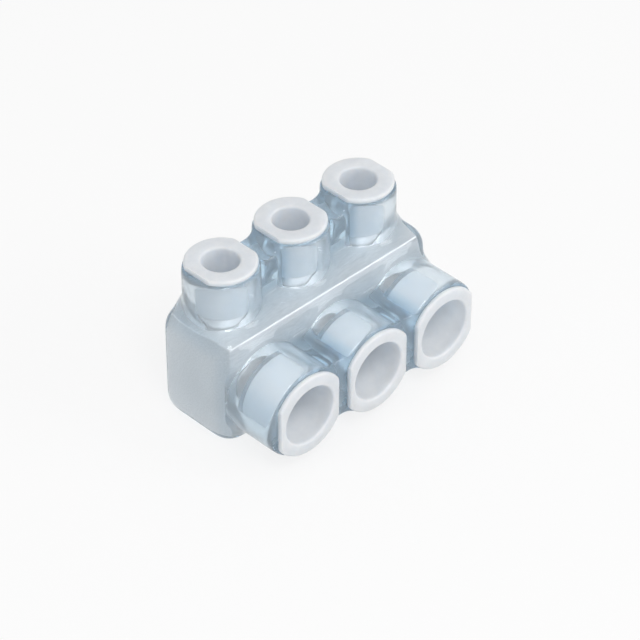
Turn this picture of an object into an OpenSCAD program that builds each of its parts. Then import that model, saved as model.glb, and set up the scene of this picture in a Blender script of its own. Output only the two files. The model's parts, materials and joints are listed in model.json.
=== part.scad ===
// Insulated multi-tap connector with three ports.
// A drilled aluminium bar sits in a clear moulded cover. Each wire enters through a round
// sleeve at the front and is clamped by a set screw reached through a round tower on top.
// Push-in plugs close the sleeves and the towers. X runs along the row, the wires enter
// from -Y and the screws from +Z. All lengths are in millimetres.

/* [Row] */
// Distance between neighbouring ports
pitch = 19; // [18.5:0.5:23]

/* [Connector block] */
// Bar beyond the axis of each outer port
block_end = 7; // [6.5:0.5:10]
// Depth of the bar, front to back
block_depth = 16; // [15.5:0.5:20]
// Height of the bar
block_height = 21.4; // [20:0.2:26]
// Screw axis in front of the bar's back face
screw_to_back = 6.5; // [6.2:0.1:7.5]
// Wire axis above the bar's bottom
wire_axis_height = 10.2; // [8.5:0.1:11]
// Bore that takes the bare conductor, drilled right through the bar
wire_bore_d = 11.4; // [8:0.1:12]
// Lead-in bevel on the bores of the bar
bore_bevel = 0.6; // [0.3:0.1:0.9]

/* [Cover] */
// Thickness of the cover over the bar
wall = 2.4; // [2:0.1:3.2]
// Outside rounding of the cover's edges
corner_r = 4.8; // [4.8:0.2:6]
// Outside diameter of a wire sleeve
sleeve_d = 20; // [18.8:0.2:20.6]
// Bore of a wire sleeve, for the insulated wire
sleeve_bore_d = 14.5; // [13:0.1:15.5]
// Length of a sleeve in front of the cover
sleeve_length = 11.9; // [10:0.1:14]
// Outside diameter of a screw tower
tower_d = 15.6; // [14.6:0.2:17]
// Bore of a screw tower
tower_bore_d = 10.7; // [10:0.1:12]
// Height of a tower above the cover's top
tower_height = 10; // [8.5:0.1:13]
// Rounding of the sleeve and tower rims
rim_r = 0.5; // [0.2:0.1:0.8]
// Radius of the blend round the foot of a sleeve
sleeve_blend = 1; // [0.6:0.1:1.4]
// Narrowing of a sleeve's inner end, which hides it in the cover's front wall
sleeve_root = 1.3; // [0.9:0.1:1.6]
// Outward reach of the blend round the foot of a tower
tower_blend = 1.4; // [0.5:0.1:1.6]
// Thickness of the web between two towers
tower_web = 8.5; // [3:0.5:10]
// Thickness of the web between two sleeves
sleeve_web = 15; // [6:0.5:16]
// Set-back of the webs from the rims
web_setback = 0.5; // [0.4:0.1:2]
// Depth of the hollow in the top edge of a tower web
web_hollow = 0.8; // [0.4:0.1:1.4]

/* [Set screws] */
// Outside diameter of a set screw
screw_d = 9.5; // [8:0.1:9.6]
// Length of a set screw
screw_length = 8; // [7:0.1:9.5]
// Hexagon socket, across its flats
socket_size = 4.8; // [4:0.1:5.6]
// Depth of the hexagon socket
socket_depth = 4.2; // [3:0.1:5]
// Bevel on both ends of a set screw
screw_bevel = 0.7; // [0.4:0.1:1]

/* [Plugs] */
// Flange diameter of a wire plug
wire_flange_d = 18.6; // [16.6:0.1:18.7]
// Distance between the two flats of a wire plug's flange
wire_flats = 15.6; // [15.2:0.1:17]
// Mouth of a wire plug's cup
wire_cup_d = 12.9; // [11:0.1:13]
// Length of a wire plug's stem inside the sleeve
wire_stem_length = 9.5; // [7:0.1:10.5]
// Flange diameter of a screw plug
screw_flange_d = 14.8; // [13.6:0.1:15.2]
// Distance between the two flats of a screw plug's flange
screw_flats = 12.9; // [12:0.1:14]
// Mouth of a screw plug's cup
screw_cup_d = 7.6; // [6.4:0.1:8.4]
// Thickness of both flanges
flange_t = 1.2; // [0.9:0.1:1.8]
// Thickness of the closed end of a cup
cup_floor = 1.2; // [0.8:0.1:1.8]
// Narrowing of a cup's bore from its mouth to its floor
cup_taper = 0.6; // [0:0.1:0.8]
// Bevel on the end of a plug's stem
stem_bevel = 0.5; // [0.2:0.1:0.8]

/* [Fits] */
// Gap all round between a plug's stem and its bore
plug_fit = 0.05; // [0.02:0.01:0.09]
// Gap all round between a set screw and its threaded hole
screw_fit = 0.05; // [0.02:0.01:0.09]
// Gap between a raised set screw and the plug above it
screw_gap = 0.4; // [0.3:0.1:1]
// Height of a raised screw's tip above the wire bore
tip_gap = 0.1; // [0.05:0.05:0.5]

/* [Hidden] */
$fn = 96;

// Overlap that makes cuts and joints clean
eps = 0.01;
// Reach of a cutter past the face that it opens
past = 1;
// Ports to each side of the middle one
side_ports = 1;
ports = [-side_ports:side_ports];

// Planes of the bar, measured from the crossing of the middle screw axis and wire axis
block_length = 2 * (side_ports * pitch + block_end);
screw_hole_d = screw_d + 2 * screw_fit;
block_back = screw_to_back;
block_front = block_back - block_depth;
block_bottom = -wire_axis_height;
block_top = block_bottom + block_height;

// Planes of the cover
cover_front = block_front - wall;
cover_back = block_back + wall;
cover_bottom = block_bottom - wall;
cover_top = block_top + wall;
cover_length = block_length + 2 * wall;
sleeve_rim = cover_front - sleeve_length;
tower_rim = cover_top + tower_height;

// A corner of the bar stays under the cover while the rounding is within this many walls
rounding_walls = 2.2;
cover_r = min(corner_r, rounding_walls * wall);

// A set screw stands with its tip just clear of the wire bore
screw_tip = wire_bore_d / 2 + tip_gap;
screw_top = screw_tip + screw_length;
screw_stem_length = tower_rim - screw_top - screw_gap;

// The narrowing of a sleeve's inner end is this many times as long as it is deep
root_slope = 1.5;

// The origin lies under the middle of the whole connector, on the surface it stands on
origin_y = (sleeve_rim - flange_t + cover_back) / 2;
origin_z = cover_bottom;

// Points of a quarter circle about a centre, from one angle to another
function arc_points(centre, r, from, to, steps = 8) =
    [for (i = [0:steps]) centre + r * [cos(from + (to - from) * i / steps), sin(from + (to - from) * i / steps)]];

// Moves a piece from the crossing of its port's axes to its place in the row
module at_port(n) {
    translate([n * pitch, -origin_y, -origin_z]) children();
}

// Turns a piece drawn along +Z so that it points out of a wire sleeve
module toward_wires() {
    rotate([90, 0, 0]) children();
}

// Outer skin over the bar, a box with all its edges rounded
module cover_body() {
    x = cover_length / 2 - cover_r;
    hull()
        for (px = [-x, x], py = [cover_front + cover_r, cover_back - cover_r],
             pz = [cover_bottom + cover_r, cover_top - cover_r])
            translate([px, py, pz]) sphere(cover_r, $fn = 32);
}

// A round spout from inside the cover to its rounded rim; its inner end can be narrower
module spout(d, from, rim, root = 0) {
    r = d / 2;
    rotate_extrude()
        polygon(concat([[0, from], [r - root, from]], root > 0 ? [[r, from + root_slope * root]] : [],
                       arc_points([r - rim_r, rim - rim_r], rim_r, 0, 90, 4), [[0, rim]]));
}

// Hollow flare round the foot of a spout: wide at the wall, narrow further out
module foot_blend(inner_r, outer_r, at) {
    reach = outer_r - inner_r;
    rotate_extrude($fn = 48)
        polygon(concat([[0, at - cover_r], [outer_r, at - cover_r]],
                       arc_points([outer_r, at + reach], reach, 270, 180, 5), [[0, at + reach]]));
}

// The blends round the sleeves follow the cover's rounded edges
module sleeve_blends() {
    r = sleeve_d / 2;
    intersection() {
        for (n = ports) translate([n * pitch, 0, 0])
            toward_wires() foot_blend(r - eps, r + sleeve_blend, -cover_front);
        translate([0, -sleeve_blend - 2 * eps, 0]) cover_body();
    }
}

// The blends round the towers lean toward the front, clear of the cover's back face
module tower_blends() {
    inner_r = tower_d / 2 - tower_blend - eps;
    outer_r = tower_d / 2 + tower_blend - eps;
    intersection() {
        for (n = ports) translate([n * pitch, -tower_blend, 0]) foot_blend(inner_r, outer_r, cover_top);
        translate([0, 0, outer_r - inner_r + 2 * eps]) cover_body();
    }
}

// Web between two towers, with a hollow top edge
module tower_web_outside() {
    top = tower_rim - web_setback;
    half_gap = (pitch - tower_d) / 2 + rim_r;
    hollow_r = (pow(half_gap, 2) + pow(web_hollow, 2)) / (2 * web_hollow);
    difference() {
        translate([-pitch / 2, -tower_web / 2, block_top + eps])
            cube([pitch, tower_web, top - block_top - eps]);
        translate([0, 0, top - web_hollow + hollow_r])
            rotate([90, 0, 0]) cylinder(r = hollow_r, h = tower_web + 2 * past, center = true);
    }
}

// Web between two sleeves
module sleeve_web_outside() {
    translate([-pitch / 2, sleeve_rim + web_setback, -sleeve_web / 2])
        cube([pitch, block_front - eps - sleeve_rim - web_setback, sleeve_web]);
}

module block_box() {
    translate([-block_length / 2, block_front, block_bottom])
        cube([block_length, block_depth, block_height]);
}

module insulating_cover() {
    color([0.72, 0.82, 0.9, 0.5])
        at_port(0) difference() {
            union() {
                cover_body();
                sleeve_blends();
                tower_blends();
                for (n = ports) translate([n * pitch, 0, 0]) {
                    toward_wires() spout(sleeve_d, -block_front + eps, -sleeve_rim, sleeve_root);
                    spout(tower_d, block_top - eps, tower_rim);
                }
                for (n = [-side_ports:side_ports - 1]) translate([(n + 0.5) * pitch, 0, 0]) {
                    tower_web_outside();
                    sleeve_web_outside();
                }
            }
            block_box();
            for (n = ports) translate([n * pitch, 0, 0]) {
                toward_wires() translate([0, 0, -block_front - past])
                    cylinder(d = sleeve_bore_d, h = block_front - sleeve_rim + 2 * past);
                translate([0, 0, block_top - past])
                    cylinder(d = tower_bore_d, h = tower_rim - block_top + 2 * past);
            }
        }
}

// A drilled hole with a bevelled mouth, drawn downward from its mouth at z = 0
module bevelled_hole(d, depth) {
    translate([0, 0, -depth]) cylinder(d = d, h = depth + past);
    translate([0, 0, -bore_bevel])
        cylinder(d1 = d, d2 = d + 2 * (bore_bevel + past), h = bore_bevel + past);
}

module connector_block() {
    color([0.75, 0.76, 0.78])
        at_port(0) difference() {
            block_box();
            for (n = ports) translate([n * pitch, 0, 0]) {
                translate([0, block_front, 0]) toward_wires()
                    bevelled_hole(wire_bore_d, block_depth + past);
                translate([0, 0, block_top]) bevelled_hole(screw_hole_d, block_top);
            }
        }
}

// Set screw with a hexagon socket and a bevel at each end
module set_screw(n) {
    r = screw_d / 2;
    color([0.8, 0.81, 0.83])
        at_port(n) translate([0, 0, screw_tip]) difference() {
            rotate_extrude()
                polygon([[0, 0], [r - screw_bevel, 0], [r, screw_bevel], [r, screw_length - screw_bevel],
                         [r - screw_bevel, screw_length], [0, screw_length]]);
            translate([0, 0, screw_length - socket_depth])
                cylinder(d = socket_size / cos(30), h = socket_depth + past, $fn = 6);
        }
}

// Cup-shaped plug: a round flange with two flats, seated at z = 0, and a hollow stem below it
module plug(flange_d, flats, stem_d, stem_length, cup_d) {
    r = stem_d / 2;
    difference() {
        union() {
            intersection() {
                cylinder(d = flange_d, h = flange_t);
                translate([-flats / 2, -flange_d, 0]) cube([flats, 2 * flange_d, flange_t]);
            }
            rotate_extrude()
                polygon([[0, -stem_length], [r - stem_bevel, -stem_length], [r, stem_bevel - stem_length],
                         [r, flange_t / 2], [0, flange_t / 2]]);
        }
        translate([0, 0, cup_floor - stem_length])
            cylinder(d1 = cup_d - cup_taper, d2 = cup_d, h = stem_length + flange_t - cup_floor);
        translate([0, 0, flange_t - eps]) cylinder(d = cup_d, h = past);
    }
}

module screw_plug(n) {
    color([0.86, 0.89, 0.92])
        at_port(n) translate([0, 0, tower_rim])
            plug(screw_flange_d, screw_flats, tower_bore_d - 2 * plug_fit, screw_stem_length, screw_cup_d);
}

module wire_plug(n) {
    color([0.86, 0.89, 0.92])
        at_port(n) translate([0, sleeve_rim, 0]) toward_wires()
            plug(wire_flange_d, wire_flats, sleeve_bore_d - 2 * plug_fit, wire_stem_length, wire_cup_d);
}

insulating_cover();
connector_block();
set_screw(-1);  // set_screw_1
set_screw(0);  // set_screw_2
set_screw(1);  // set_screw_3
screw_plug(-1);  // screw_plug_1
screw_plug(0);  // screw_plug_2
screw_plug(1);  // screw_plug_3
wire_plug(-1);  // wire_plug_1
wire_plug(0);  // wire_plug_2
wire_plug(1);  // wire_plug_3
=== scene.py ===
# %% [markdown]
# An insulated multi-tap connector joins several wires inside one clear cover. A drilled
# aluminium bar carries the current, a set screw clamps each wire, and soft milky plugs
# close the holes until a wire goes in. The packed model gives every piece its size and
# place. A scene could be modelled by eye instead, but then nothing would fit the model, so
# this lesson loads the frame first and measures all later shapes against it.

# %% Load the frame
import json
import math

import bmesh
import bpy
from mathutils import Matrix, Vector

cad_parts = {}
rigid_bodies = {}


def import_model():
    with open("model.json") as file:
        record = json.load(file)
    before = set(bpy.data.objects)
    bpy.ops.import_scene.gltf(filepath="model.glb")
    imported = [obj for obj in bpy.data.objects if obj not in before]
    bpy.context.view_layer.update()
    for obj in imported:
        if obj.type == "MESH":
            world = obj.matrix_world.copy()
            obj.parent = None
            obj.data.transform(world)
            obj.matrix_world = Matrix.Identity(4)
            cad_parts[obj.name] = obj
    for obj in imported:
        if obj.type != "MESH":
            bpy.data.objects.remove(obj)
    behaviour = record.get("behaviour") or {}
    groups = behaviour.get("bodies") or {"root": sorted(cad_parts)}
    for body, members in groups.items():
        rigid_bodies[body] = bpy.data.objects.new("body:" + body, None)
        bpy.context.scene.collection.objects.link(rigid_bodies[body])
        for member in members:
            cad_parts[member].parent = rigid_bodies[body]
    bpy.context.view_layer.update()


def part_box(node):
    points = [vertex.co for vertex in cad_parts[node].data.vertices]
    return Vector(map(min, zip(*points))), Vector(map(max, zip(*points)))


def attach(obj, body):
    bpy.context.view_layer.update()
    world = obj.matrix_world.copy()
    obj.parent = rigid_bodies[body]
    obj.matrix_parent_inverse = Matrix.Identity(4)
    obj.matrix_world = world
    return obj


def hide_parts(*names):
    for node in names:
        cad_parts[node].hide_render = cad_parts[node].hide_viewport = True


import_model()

# %% [markdown]
# Lengths are in metres here, so a millimetre gets its own name. The places that pieces
# share could be typed in, but they are read from the boxes of the packed nodes, so that
# they can't disagree: the ports' places along the row, the height of the wires, the depth
# of the screws, and the faces of the bar and of the cover.

# %% Measure the frame
mm = 0.001
PORTS = (1, 2, 3)


def middle(node):
    low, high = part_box(node)
    return (low + high) / 2


port_x = {port: middle(f"wire_plug_{port}").x for port in PORTS}
pitch = port_x[2] - port_x[1]
wire_z = middle("wire_plug_2").z
screw_y = middle("screw_plug_2").y
bar_low, bar_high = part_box("connector_block")
cover_low, cover_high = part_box("insulating_cover")
wall = bar_low.z - cover_low.z
body_front = bar_low.y - wall
body_top = bar_high.z + wall
sleeve_rim = cover_low.y
tower_rim = cover_high.z
print("pitch", round(pitch / mm, 2), "wall", round(wall / mm, 2), "mm")

# %% [markdown]
# Shapes start as a bmesh, Blender's editable mesh. They could be drawn by hand in edit
# mode, but a script that calls the same operators can be read and changed. Two helpers add
# the solids that come up most: a straight or tapered round bar between two points, and a
# box between two corners.

# %% Solid helpers
ROUND = 96


def add_bar(bm, start, end, start_radius, end_radius, segments=ROUND):
    span = end - start
    turned = span.to_track_quat("Z", "Y").to_matrix().to_4x4()
    made = bmesh.ops.create_cone(
        bm, cap_ends=True, segments=segments, radius1=start_radius, radius2=end_radius,
        depth=span.length, matrix=Matrix.Translation((start + end) / 2) @ turned)
    return made["verts"]


def add_box(bm, low, high):
    place = Matrix.Translation((low + high) / 2) @ Matrix.Diagonal((*(high - low), 1))
    return bmesh.ops.create_cube(bm, size=1, matrix=place)["verts"]


def bevel_edges(bm, edges, width, segments):
    bmesh.ops.bevel(
        bm, geom=edges, offset=width, offset_type="OFFSET", affect="EDGES", segments=segments,
        profile=0.5, material=-1)


print("round pieces have", ROUND, "sides")

# %% [markdown]
# A bmesh is only the workshop, and an object shows its result. The first helper here makes
# that object, and the second writes what its modifiers do into its mesh. The third cuts a
# piece with a tool by a boolean and throws the tool away. It uses the exact solver, which
# is slower than the fast one but leaves clean edges where faces meet. The last shades round
# faces smooth and keeps real edges sharp.

# %% Object helpers
def to_object(bm, name):
    bmesh.ops.recalc_face_normals(bm, faces=bm.faces)
    mesh = bpy.data.meshes.new(name)
    bm.to_mesh(mesh)
    bm.free()
    piece = bpy.data.objects.new(name, mesh)
    bpy.context.collection.objects.link(piece)
    return piece


def apply_modifiers(piece):
    ready = piece.evaluated_get(bpy.context.evaluated_depsgraph_get())
    mesh = bpy.data.meshes.new_from_object(ready)
    piece.modifiers.clear()
    piece.data = mesh


def carve(piece, tool, operation="DIFFERENCE", use_self=False):
    cut = piece.modifiers.new(tool.name, "BOOLEAN")
    cut.operation = operation
    cut.solver = "EXACT"
    cut.use_self = use_self
    cut.object = tool
    apply_modifiers(piece)
    bpy.data.objects.remove(tool)


def smooth_shade(piece, angle):
    piece.data.shade_smooth()
    piece.data.set_sharp_from_angle(angle=math.radians(angle))
    return piece


# %% [markdown]
# The cover is one soft vinyl moulding, so its spouts, webs and body flow into each other
# with no sharp inside corner. Bevels on a joined mesh could round the corners, but they
# fail where so many rounds meet. So plain solids are laid over each other first, and then
# they are melted into one skin. The body comes first: a box whose edges are rolled by a
# wide bevel.

# %% Lay out the cover's body
cover_corner = 4.8 * mm
corner_steps = 8
skin = bmesh.new()
body = add_box(
    skin, Vector((cover_low.x, body_front, cover_low.z)),
    Vector((cover_high.x, cover_high.y, body_top)))
bevel_edges(skin, list({edge for vert in body for edge in vert.link_edges}), cover_corner, corner_steps)
print("body:", len(skin.faces), "faces")

# %% [markdown]
# Three sleeves take the wires and three towers lead down to the screws. A spout is a round
# bar with a short cone at its foot, as a mould's radius leaves it. A cone that reaches past
# the body is flattened a little inside it, because the outer spouts stand near the ends and
# the towers near the back, and the cover must stay inside the model's box.

# %% Add the sleeves and the towers
sleeve_r, tower_r = 9.95 * mm, 7.85 * mm
sleeve_flare, tower_flare = 1.0 * mm, 1.9 * mm
skin_inset = 0.1 * mm
FRONT, UP = Vector((0, -1, 0)), Vector((0, 0, 1))


def add_spout(root, direction, length, radius, flare):
    sunk = root - direction * flare
    add_bar(skin, sunk, root + direction * length, radius, radius)
    for vert in add_bar(skin, sunk, root + direction * flare, radius + flare, radius):
        vert.co.x = min(max(vert.co.x, cover_low.x + skin_inset), cover_high.x - skin_inset)
        vert.co.y = min(vert.co.y, cover_high.y - skin_inset)


for x in port_x.values():
    add_spout(Vector((x, body_front, wire_z)), FRONT, body_front - sleeve_rim, sleeve_r, sleeve_flare)
    add_spout(Vector((x, screw_y, body_top)), UP, tower_rim - body_top, tower_r, tower_flare)
print("body and spouts:", len(skin.faces), "faces")

# %% [markdown]
# Webs join neighbouring spouts and keep them from bending apart. Each is a box between two
# spouts, set back a little from their rims. The top edge of a tower web sags between the
# towers. A curve could be drawn for it, but it is enough to divide the box's long edges and
# to lower the middle of its top as a parabola.

# %% Add the webs
tower_web, sleeve_web = 8.5 * mm, 15.0 * mm
web_setback = 0.5 * mm
web_dip, dip_reach = 0.8 * mm, 2.6 * mm
web_cuts = 15
hair = 0.01 * mm
web_top = tower_rim - web_setback
for port in PORTS[:-1]:
    x = port_x[port] + pitch / 2
    left, right = x - pitch / 2, x + pitch / 2
    add_box(skin, Vector((left, sleeve_rim + web_setback, wire_z - sleeve_web / 2)),
            Vector((right, bar_low.y, wire_z + sleeve_web / 2)))
    web = add_box(skin, Vector((left, screw_y - tower_web / 2, bar_high.z)),
                  Vector((right, screw_y + tower_web / 2, web_top)))
    long_edges = {edge for vert in web for edge in vert.link_edges
                  if abs(edge.verts[0].co.x - edge.verts[1].co.x) > pitch / 2}
    divided = bmesh.ops.subdivide_edges(skin, edges=list(long_edges), cuts=web_cuts, use_grid_fill=True)
    for part in divided["geom_inner"]:
        if isinstance(part, bmesh.types.BMVert) and part.co.z > web_top - hair:
            aside = min(1, abs(part.co.x - x) / dip_reach)
            part.co.z -= web_dip * (1 - aside * aside)
cover = to_object(skin, "clear_cover")
print("cover solids:", len(cover.data.polygons), "faces")

# %% [markdown]
# A union by boolean would keep every crease between the solids. A voxel remesh makes one
# even skin of them instead, and a few rounds of smoothing melt the creases into the soft
# hollows that a moulding has. The voxels are small enough to keep the rims and the webs.

# %% Melt the solids into one skin
skin_step = 0.42 * mm
skin_rounds = 14
melt = cover.modifiers.new("melt", "REMESH")
melt.mode = "VOXEL"
melt.voxel_size = skin_step
melt.adaptivity = 0
apply_modifiers(cover)
soft = bmesh.new()
soft.from_mesh(cover.data)
for _ in range(skin_rounds):
    bmesh.ops.smooth_vert(
        soft, verts=soft.verts, factor=0.5, use_axis_x=True, use_axis_y=True, use_axis_z=True)
soft.to_mesh(cover.data)
soft.free()
print("cover skin:", len(cover.data.polygons), "faces")

# %% [markdown]
# The skin is still solid. A Solidify modifier would hollow it evenly, but the real inside
# follows the bar and the core pins. So the bar's own shape is cut out, a hair smaller than
# the bar, and the vinyl really touches the metal, with no thin mirror of air between them.

# %% Cut the bar's place out of the cover
edge_break = 0.18 * mm
hug = 0.04 * mm
inset = Vector((hug, hug, hug))
cavity = bmesh.new()
add_box(cavity, bar_low + inset, bar_high - inset)
bevel_edges(cavity, cavity.edges[:], edge_break, 1)
carve(cover, to_object(cavity, "cavity_tool"))
print("cover with cavity:", len(cover.data.polygons), "faces")

# %% [markdown]
# Core pins leave six bores with crisp walls, so they are cut after the smoothing. Behind the
# plug a sleeve's bore narrows a little like a funnel, which leads a wire into the bar. The
# finished cover then rides on the connector's body and takes the packed node's place.

# %% Cut the six bores
sleeve_bore_r, tower_bore_r = 7.25 * mm, 5.35 * mm
throat_r, throat_start = 6.3 * mm, 10.3 * mm
reach = 1.0 * mm
throat = sleeve_rim + throat_start
bores = bmesh.new()
for x in port_x.values():
    add_bar(bores, Vector((x, throat, wire_z)), Vector((x, sleeve_rim - reach, wire_z)),
            sleeve_bore_r, sleeve_bore_r)
    add_bar(bores, Vector((x, bar_low.y + reach, wire_z)), Vector((x, throat - hair, wire_z)),
            throat_r, sleeve_bore_r)
    add_bar(bores, Vector((x, screw_y, bar_high.z - reach)), Vector((x, screw_y, tower_rim + reach)),
            tower_bore_r, tower_bore_r)
carve(cover, to_object(bores, "bore_tool"))
smooth_shade(cover, 40)
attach(cover, "connector")
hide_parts("insulating_cover")
print("cover:", len(cover.data.polygons), "faces")

# %% [markdown]
# The bar is sawn from drawn stock, drilled and tapped. Its edges are broken by a file, and that
# narrow bevel catches the lamps through the vinyl as a fine bright line. The mesh of the
# packed node has no such bevel, so the bar is made again: a bevelled box, six holes bored
# into it, and a cone at each mouth, where a countersink took the burr away.

# %% Make the bar
mouth_bevel = 0.6 * mm
wire_hole_r, screw_hole_r = 5.7 * mm, 4.8 * mm
BACK, DOWN = -FRONT, -UP
stock = bmesh.new()
add_box(stock, bar_low, bar_high)
bevel_edges(stock, stock.edges[:], edge_break, 1)
bar = to_object(stock, "drilled_bar")
drills = bmesh.new()
mouths = bmesh.new()


def drill(start, way, depth, radius):
    add_bar(drills, start - way * reach, start + way * depth, radius, radius)
    add_bar(mouths, start - way * reach, start + way * mouth_bevel, radius + mouth_bevel + reach, radius)


for x in port_x.values():
    drill(Vector((x, bar_low.y, wire_z)), BACK, bar_high.y - bar_low.y + reach, wire_hole_r)
    drill(Vector((x, screw_y, bar_high.z)), DOWN, bar_high.z - wire_z, screw_hole_r)
for tool in (to_object(drills, "drill_tool"), to_object(mouths, "mouth_tool")):
    carve(bar, tool, use_self=True)
smooth_shade(bar, 30)
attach(bar, "connector")
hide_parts("connector_block")
print("bar:", len(bar.data.polygons), "faces")

# %% [markdown]
# The plugs and the screws are round, so half of a section is drawn as a chain of points and
# spun once about its axis, as on a lathe. A full spin merges its seam, and the doubles at
# the poles are merged after it. A flat is sliced off by a plane, and a new face closes it.

# %% Turning helpers
same_place = 0.001 * mm
on_plane = 0.0001 * mm


def draw_line(bm, points):
    verts = [bm.verts.new(point) for point in points]
    edges = [bm.edges.new(pair) for pair in zip(verts, verts[1:])]
    return verts + edges


def turn(points, steps):
    bm = bmesh.new()
    bmesh.ops.spin(
        bm, geom=draw_line(bm, points), cent=(0, 0, 0), axis=UP, angle=math.tau, steps=steps,
        use_merge=True)
    bmesh.ops.remove_doubles(bm, verts=bm.verts, dist=same_place)
    return bm


def slice_off(bm, point, outward):
    everything = bm.verts[:] + bm.edges[:] + bm.faces[:]
    sliced = bmesh.ops.bisect_plane(
        bm, geom=everything, dist=on_plane, plane_co=point, plane_no=outward, clear_outer=True)
    rim = [part for part in sliced["geom_cut"] if isinstance(part, bmesh.types.BMEdge)]
    bmesh.ops.contextual_create(bm, geom=rim)


def arc(centre_r, centre_z, radius, first, last, steps=5):
    angles = [math.radians(first + (last - first) * i / steps) for i in range(steps + 1)]
    return [Vector((centre_r + radius * math.cos(a), 0, centre_z + radius * math.sin(a))) for a in angles]


print("a quarter round has", len(arc(0, 0, mm, 0, 90)), "points")

# %% [markdown]
# A plug is a soft moulded cup with a flange. It could be a boolean of cylinders, but the
# lathe rounds all its edges in the same step. The flange then loses a slice on each side,
# so that neighbouring plugs don't crowd each other and a thumbnail finds an edge.

# %% Plug helper
flange_t = 1.2 * mm
flange_round = 0.5 * mm
cup_floor = 1.2 * mm
floor_round = 1.0 * mm
cup_taper = 0.3 * mm
stem_lead = 0.5 * mm


def make_plug(name, place, flange_r, flats, stem_r, stem_length, cup_r):
    floor_z = cup_floor - stem_length
    section = [Vector((0, 0, floor_z))]
    section += arc(cup_r - cup_taper - floor_round, floor_z + floor_round, floor_round, -90, 0)
    section += arc(cup_r + flange_round, flange_t - flange_round, flange_round, 180, 90)
    section += arc(flange_r - flange_round, flange_t - flange_round, flange_round, 90, 0)
    section += arc(flange_r - flange_round, flange_round, flange_round, 0, -90)
    section += [Vector((stem_r, 0, 0))]
    section += arc(stem_r - stem_lead, stem_lead - stem_length, stem_lead, 0, -90)
    section += [Vector((0, 0, -stem_length))]
    bm = turn(section, ROUND)
    for side in (-1, 1):
        slice_off(bm, (side * flats / 2, 0, 0), (side, 0, 0))
    bmesh.ops.recalc_face_normals(bm, faces=bm.faces)
    bm.transform(place)
    return smooth_shade(to_object(bm, name), 35)


print("flange", round(flange_t / mm, 2), "mm thick")

# %% [markdown]
# The same helper makes both kinds of plug. A wire plug closes a sleeve and looks forward, so
# it is turned a quarter about the row. A screw plug closes a tower and looks up. The boxes
# of the packed nodes give the flanges' widths and the stems' lengths, and each plug rides
# on its own body, because it can be pulled out.

# %% Make the six plugs
outward = Matrix.Rotation(math.radians(90), 4, "X")
plugs = []
for port in PORTS:
    low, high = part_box(f"wire_plug_{port}")
    plug = make_plug(
        f"wire_cap_{port}", Matrix.Translation((port_x[port], sleeve_rim, wire_z)) @ outward,
        flange_r=(high.z - low.z) / 2, flats=high.x - low.x, stem_r=7.2 * mm,
        stem_length=high.y - sleeve_rim, cup_r=6.45 * mm)
    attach(plug, f"wire_plug_{port}")
    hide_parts(f"wire_plug_{port}")
    plugs.append(plug)
    low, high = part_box(f"screw_plug_{port}")
    plug = make_plug(
        f"screw_cap_{port}", Matrix.Translation((port_x[port], screw_y, tower_rim)),
        flange_r=(high.y - low.y) / 2, flats=high.x - low.x, stem_r=5.3 * mm,
        stem_length=tower_rim - low.z, cup_r=3.8 * mm)
    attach(plug, f"screw_plug_{port}")
    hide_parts(f"screw_plug_{port}")
    plugs.append(plug)
print("plugs:", [len(plug.data.polygons) for plug in plugs])

# %% [markdown]
# A set screw is a rod with a thread and no head. A thread could be a bump in the material,
# but its crests show at the rod's edge, so it is a real one. A single tooth is drawn as a
# line, and a spin that also climbs sweeps it into a helix, which two planes trim to length.

# %% Thread helper
thread_step = 1.06 * mm
thread_depth = 0.55 * mm
crest_start, crest_end = 0.44 * thread_step, 0.56 * thread_step
steps_per_turn = 36


def make_thread(name, radius, length):
    root_r = radius - thread_depth
    tooth = [Vector((root_r, 0, 0)), Vector((radius, 0, crest_start)),
             Vector((radius, 0, crest_end)), Vector((root_r, 0, thread_step))]
    tooth = [point - UP * thread_step for point in tooth]
    turns = math.ceil(length / thread_step) + 2
    bm = bmesh.new()
    bmesh.ops.spin(
        bm, geom=draw_line(bm, tooth), cent=(0, 0, 0), axis=UP, dvec=UP * (thread_step / steps_per_turn),
        angle=math.tau * turns, steps=steps_per_turn * turns)
    bmesh.ops.remove_doubles(bm, verts=bm.verts, dist=2 * same_place)
    slice_off(bm, (0, 0, 0), DOWN)
    slice_off(bm, (0, 0, length), UP)
    return to_object(bm, name)


print("thread", round(thread_step / mm, 2), "mm a turn")

# %% [markdown]
# The screw's ends are bevelled, so that it starts easily in its hole, and a hexagon socket
# takes the key. Bevels on the cut thread would be ragged, so a turned blank with clean ends
# is laid over the thread and only what both share is kept. A six-sided bar then sinks the
# socket. Each screw rides on its own body, because it is driven down onto the wire.

# %% Make the three set screws
screw_bevel = 0.7 * mm
blank_room = 0.1 * mm
blank_steps = 48
socket_size, socket_depth = 4.8 * mm, 4.2 * mm
socket_r = socket_size / 2 / math.cos(math.radians(30))


def make_screw(name, foot, radius, length):
    screw = make_thread(name, radius, length)
    end_r, side_r = radius - screw_bevel, radius + blank_room
    outline = [Vector((0, 0, 0)), Vector((end_r, 0, 0)), Vector((side_r, 0, screw_bevel)),
               Vector((side_r, 0, length - screw_bevel)), Vector((end_r, 0, length)), Vector((0, 0, length))]
    carve(screw, to_object(turn(outline, blank_steps), "blank_tool"), "INTERSECT")
    socket = bmesh.new()
    add_bar(socket, UP * (length - socket_depth), UP * (length + reach), socket_r, socket_r, segments=6)
    carve(screw, to_object(socket, "socket_tool"))
    screw.data.transform(Matrix.Translation(foot))
    return smooth_shade(screw, 30)


screws = []
for port in PORTS:
    low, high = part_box(f"set_screw_{port}")
    foot = Vector((port_x[port], screw_y, low.z))
    screw = make_screw(f"threaded_screw_{port}", foot, (high.x - low.x) / 2, high.z - low.z)
    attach(screw, f"set_screw_{port}")
    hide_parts(f"set_screw_{port}")
    screws.append(screw)
print("screws:", [len(screw.data.polygons) for screw in screws])

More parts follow.
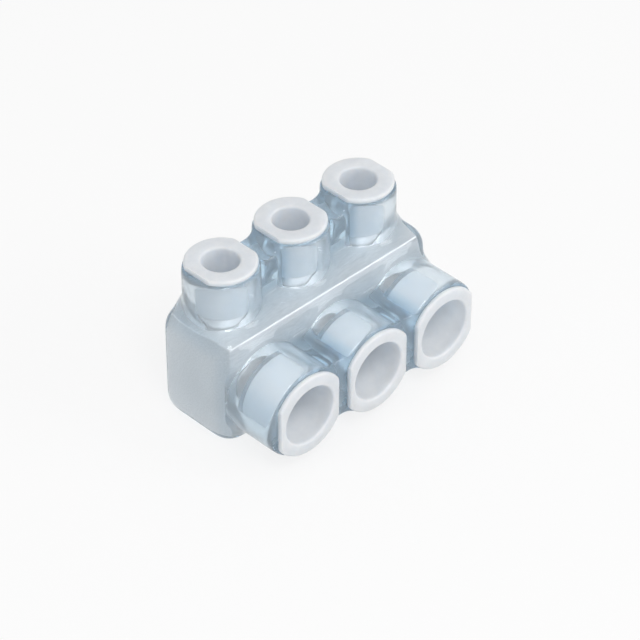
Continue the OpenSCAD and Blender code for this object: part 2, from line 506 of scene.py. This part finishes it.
# %% [markdown]
# Materials are graphs of nodes. Wiring them one by one is hard to read, so a small class
# wraps a socket, and arithmetic on such values adds the Math nodes.

# %% Shader values
class Value:
    def __init__(self, graph, socket):
        self.graph = graph
        self.socket = socket

    def math(self, operation, other=None):
        return self.graph.add("ShaderNodeMath", {"operation": operation}, values=(self, other))

    def __add__(self, other):
        return self.math("ADD", other)

    def __mul__(self, other):
        return self.math("MULTIPLY", other)

    def __sub__(self, other):
        return self.math("SUBTRACT", other)

    def __rsub__(self, other):
        return self.graph.add("ShaderNodeMath", {"operation": "SUBTRACT"}, values=(other, self))

    __radd__ = __add__
    __rmul__ = __mul__


print("values know", [name for name in vars(Value) if name.startswith("__r")])

# %% [markdown]
# One method adds any other node: first its settings, such as a ramp's stops, then the values
# or links of its sockets, by name or in order. Three short methods on top of it say what is
# needed often: a mix of two shaders, a soft step from 0 to 1 between two places, and whether
# a ray comes from the eye, straight or by way of a gloss or through the vinyl.

# %% Shader graph
class Graph:
    def __init__(self, owner):
        owner.use_nodes = True
        self.tree = owner.node_tree
        self.tree.nodes.clear()

    def connect(self, slot, value):
        if isinstance(value, Value):
            self.tree.links.new(value.socket, slot)
        elif value is not None:
            slot.default_value = value

    def add(self, kind, settings=None, output=0, values=(), **inputs):
        node = self.tree.nodes.new(kind)
        for name, setting in (settings or {}).items():
            if name == "stops":
                for stop, (position, colour) in zip(node.color_ramp.elements, setting):
                    stop.position = position
                    stop.color = (*colour, 1)
            else:
                setattr(node, name, setting)
        for slot, value in zip(node.inputs, values):
            self.connect(slot, value)
        for name, value in inputs.items():
            self.connect(node.inputs[name.replace("_", " ")], value)
        return Value(self, node.outputs[output]) if node.outputs else None

    def mix(self, factor, first, second):
        return self.add("ShaderNodeMixShader", values=(factor, first, second))

    def fade(self, value, start, end):
        soft_step = {"interpolation_type": "SMOOTHSTEP"}
        return self.add("ShaderNodeMapRange", soft_step, values=(value, start, end))

    def seen(self):
        straight, by_gloss, through = (
            self.add("ShaderNodeLightPath", output=f"Is {kind} Ray")
            for kind in ("Camera", "Glossy", "Transmission"))
        return straight.math("MAXIMUM", by_gloss.math("MAXIMUM", through))


def new_material(name):
    material = bpy.data.materials.new(name)
    return material, Graph(material)


def dress(piece, material):
    piece.data.materials.clear()
    piece.data.materials.append(material)


print("graph methods:", [name for name in vars(Graph) if not name.startswith("_")])

# %% [markdown]
# The vinyl is clear and faintly blue. Its tint could be one colour all over, but clear
# plastic looks deeper where light has a longer way through it: along webs, in rims and in
# the thick rounds at the ends. Absorption in the volume gives a part of that, and the rest is
# painted shade: a mask darkens the vinyl's colour towards a deeper blue there, because a path
# tracer can't follow all the bounces inside such a wall. It is also a painted reflection of
# dark surroundings seen in the vinyl. The mask is a set of soft steps on the Object
# coordinates, and the strongest one wins.

# %% Mask the vinyl's painted shade
web_side, web_heart = 4.4 * mm, 3.0 * mm
web_fade = 2.0 * mm
rim_outer, rim_inner = 0.2 * mm, 0.6 * mm
end_inner, end_outer = 25.5 * mm, 28.5 * mm
edge_inner, edge_outer = 5.0 * mm, 1.0 * mm
end_shade_strength = 0.7
clear_vinyl, graph = new_material("clear_vinyl")
where = graph.add("ShaderNodeTexCoord", output="Object")
along, across, height = (graph.add("ShaderNodeSeparateXYZ", output=axis, Vector=where) for axis in "XYZ")
from_middle = along.math("ABSOLUTE")
from_web = (from_middle - pitch / 2).math("ABSOLUTE")
near_web = graph.fade(from_web, web_side, web_heart)
in_tower_web = graph.fade(height, body_top, body_top + web_fade) * near_web
in_sleeve_web = graph.fade(across, body_front, body_front - web_fade) * near_web
on_rim = graph.fade(height, tower_rim - rim_inner, tower_rim - rim_outer)
on_mouth = graph.fade(across, sleeve_rim + rim_inner, sleeve_rim + rim_outer)
in_end = graph.fade(from_middle, end_inner, end_outer)
near_top = graph.fade(height, body_top - edge_inner, body_top - edge_outer)
near_front = graph.fade(across, body_front + edge_inner, body_front + edge_outer)
# The end rounds get painted shade near their top and front edges, at 0.7 of full strength.
painted_shade = in_end * near_top.math("MAXIMUM", near_front) * end_shade_strength
for zone in (in_tower_web, in_sleeve_web, on_rim, on_mouth):
    painted_shade = painted_shade.math("MAXIMUM", zone)
print("mask:", len(graph.tree.nodes), "nodes")

# %% [markdown]
# The skin of the vinyl is glossy, with the slow waves of a soft moulding, and a little haze
# is mixed in: half of it throws light back and half lets it glow through. Light from the
# lamps has to reach the pieces inside. A path tracer finds lamps through glass too rarely,
# so for shadow rays alone the vinyl is a plain transparent shader that holds back some light.

# %% Clear vinyl
haze_colour = (0.9, 0.925, 0.945, 1)
haze_share = 0.18
waves = graph.add("ShaderNodeTexNoise", Vector=where, Scale=260.0, Detail=2.0, Roughness=0.5)
relief = graph.add("ShaderNodeBump", Strength=0.12, Distance=0.4 * mm, Height=waves)
# The ramp turns the mask into colour: painted shade, a deeper blue where the mask is high.
shaded_tint = graph.add(
    "ShaderNodeValToRGB", {"stops": ((0, (0.97, 0.985, 0.995)), (1, (0.7, 0.86, 0.98)))}, Fac=painted_shade)
vinyl = graph.add(
    "ShaderNodeBsdfPrincipled", Base_Color=shaded_tint, Roughness=0.06, IOR=1.5, Transmission_Weight=1.0,
    Normal=relief)
milk = graph.add("ShaderNodeBsdfDiffuse", Color=haze_colour)
glow = graph.add("ShaderNodeBsdfTranslucent", Color=haze_colour)
hazy_vinyl = graph.mix(haze_share, vinyl, graph.mix(0.5, milk, glow))
shadow_ray = graph.add("ShaderNodeLightPath", output="Is Shadow Ray")
let_through = graph.add("ShaderNodeBsdfTransparent", Color=(0.76, 0.78, 0.8, 1))
inside = graph.add("ShaderNodeVolumeAbsorption", Color=(0.46, 0.73, 0.88, 1), Density=40.0)
graph.add("ShaderNodeOutputMaterial", Surface=graph.mix(shadow_ray, hazy_vinyl, let_through), Volume=inside)
dress(cover, clear_vinyl)
print("clear vinyl:", len(graph.tree.nodes), "nodes")

# %% [markdown]
# The plugs are moulded from milky polyethylene, a waxy plastic that light enters and leaves
# again nearby. A plain white would look like paint, and real scattering in a volume would
# need many more samples, so subsurface scattering does it. A slow cloud in the colour and a
# faint bump stand for the uneven melt.

# %% Milky polyethylene
milky, graph = new_material("milky_polyethylene")
where = graph.add("ShaderNodeTexCoord", output="Object")
cloud = graph.add("ShaderNodeTexNoise", Vector=where, Scale=400.0, Detail=3.0, Roughness=0.6)
tone = graph.add(
    "ShaderNodeValToRGB", {"stops": ((0.3, (0.69, 0.72, 0.76)), (0.7, (0.75, 0.775, 0.81)))}, Fac=cloud)
grain = graph.add("ShaderNodeBump", Strength=0.15, Distance=0.1 * mm, Height=cloud)
plastic = graph.add(
    "ShaderNodeBsdfPrincipled", Base_Color=tone, Roughness=0.38, IOR=1.5, Subsurface_Weight=1.0,
    Subsurface_Radius=(0.9, 1.0, 1.1), Subsurface_Scale=3.0 * mm, Normal=grain)
graph.add("ShaderNodeOutputMaterial", Surface=plastic)
for plug in plugs:
    dress(plug, milky)
print("milky polyethylene:", len(graph.tree.nodes), "nodes")

# %% [markdown]
# The bar was drawn through a die, which leaves fine lines along it. A picture of brushed
# metal could be laid on, but a noise that is stretched along the row needs no file and never
# repeats. It drives the colour, the roughness and a faint bump together. The metal is a bit
# short of fully metallic, because its skin of oxide and grease takes the mirror off it.

# %% Bar aluminium
bar_metal, graph = new_material("bar_aluminium")
where = graph.add("ShaderNodeTexCoord", output="Object")
stretched = graph.add("ShaderNodeMapping", Vector=where, Scale=(500.0, 2600.0, 2600.0))
streaks = graph.add("ShaderNodeTexNoise", Vector=stretched, Scale=1.0, Detail=3.0, Roughness=0.6)
tone = graph.add(
    "ShaderNodeValToRGB", {"stops": ((0.3, (0.76, 0.755, 0.76)), (0.7, (0.92, 0.91, 0.915)))}, Fac=streaks)
lines = graph.add("ShaderNodeBump", Strength=0.15, Distance=0.05 * mm, Height=streaks)
metal = graph.add(
    "ShaderNodeBsdfPrincipled", Base_Color=tone, Roughness=streaks * 0.25 + 0.38, Metallic=0.7,
    Normal=lines)
graph.add("ShaderNodeOutputMaterial", Surface=metal)
for piece in (bar, *screws):
    dress(piece, bar_metal)
print("bar aluminium:", len(graph.tree.nodes), "nodes")

# %% [markdown]
# The photograph has a white ground. A floor that only glows would swallow the object's
# shadow, and a painted one would come out grey. So the floor is a mix for rays that come
# from the eye: mostly white paper that glows, and enough pale paint to keep the shadow. All
# other rays meet the paint alone.

# %% Floor
paper_share = 0.8
floor_half = 3.0
floor_gap = 0.02 * mm
floor_mesh = bmesh.new()
bmesh.ops.create_grid(floor_mesh, x_segments=1, y_segments=1, size=floor_half)
floor = to_object(floor_mesh, "floor")
floor.location.z = cover_low.z - floor_gap
floor_paint, graph = new_material("floor_paint")
paint = graph.add("ShaderNodeBsdfDiffuse", Color=(0.9, 0.9, 0.9, 1))
paper = graph.add("ShaderNodeEmission", Color=(1, 1, 1, 1), Strength=1.0)
graph.add("ShaderNodeOutputMaterial", Surface=graph.mix(graph.seen() * paper_share, paint, paper))
dress(floor, floor_paint)
print("floor:", len(graph.tree.nodes), "nodes")

# %% [markdown]
# The camera stands where the photograph was taken: left of the row, about forty degrees
# above it, far away behind a long lens, so that the edges stay almost parallel. Its place
# could be set by hand in the viewport. It is given by two angles, a distance and the point
# that it looks at, because these were fitted to the object's outline in the photograph.

# %% Camera
azimuth, elevation = math.radians(-44.6), math.radians(39.0)
aim = Vector((-4.75, -5.05, 21.65)) * mm
distance = 605.5 * mm
back = Vector((math.sin(azimuth) * math.cos(elevation),
               -math.cos(azimuth) * math.cos(elevation),
               math.sin(elevation)))
camera = bpy.data.objects.new("camera", bpy.data.cameras.new("camera"))
bpy.context.collection.objects.link(camera)
camera.data.lens = 171.8
camera.data.sensor_width = 36
camera.data.clip_start, camera.data.clip_end = 0.01, 20
camera.location = aim + back * distance
camera.rotation_euler = (-back).to_track_quat("-Z", "Y").to_euler()
bpy.context.scene.camera = camera
print("camera at", [round(c, 3) for c in camera.location])

# %% [markdown]
# The light is that of a plain studio. A sun would throw hard shadows and small lamps would
# dot the vinyl, so two wide disks do it: a key from the upper left, and a fill from the
# right, which draws the bright line on the bar's edge and opens the sleeves' far sides.

# %% Lamps
def add_lamp(name, direction, away, size, power):
    lamp = bpy.data.objects.new(name, bpy.data.lights.new(name, "AREA"))
    bpy.context.collection.objects.link(lamp)
    lamp.data.shape = "DISK"
    lamp.data.size = size
    lamp.data.energy = power
    lamp.location = aim + Vector(direction).normalized() * away
    lamp.rotation_euler = (aim - lamp.location).to_track_quat("-Z", "Y").to_euler()


add_lamp("key_light", direction=(-0.35, -0.7, 1.1), away=0.9, size=0.35, power=2.7)
add_lamp("fill_light", direction=(0.65, -1.0, 0.55), away=1.1, size=0.5, power=2.4)
print("lamps:", sorted(light.name for light in bpy.data.lights))

# %% [markdown]
# A white sky lights the shaded sides from all around. At full strength it would wash the
# shadows out, so it is weaker for the light it gives than for the eye, to which it shows
# plain white. The Standard view transform leaves the colours as they are written.

# %% Sky
sky_light = 0.6
world = bpy.data.worlds.new("studio_sky")
bpy.context.scene.world = world
graph = Graph(world)
strength = graph.seen() * (1 - sky_light) + sky_light
sky = graph.add("ShaderNodeBackground", Color=(1, 1, 1, 1), Strength=strength)
graph.add("ShaderNodeOutputWorld", Surface=sky)
bpy.context.scene.view_settings.view_transform = "Standard"
print("sky:", len(graph.tree.nodes), "nodes")

# %% [markdown] The scene ends here.
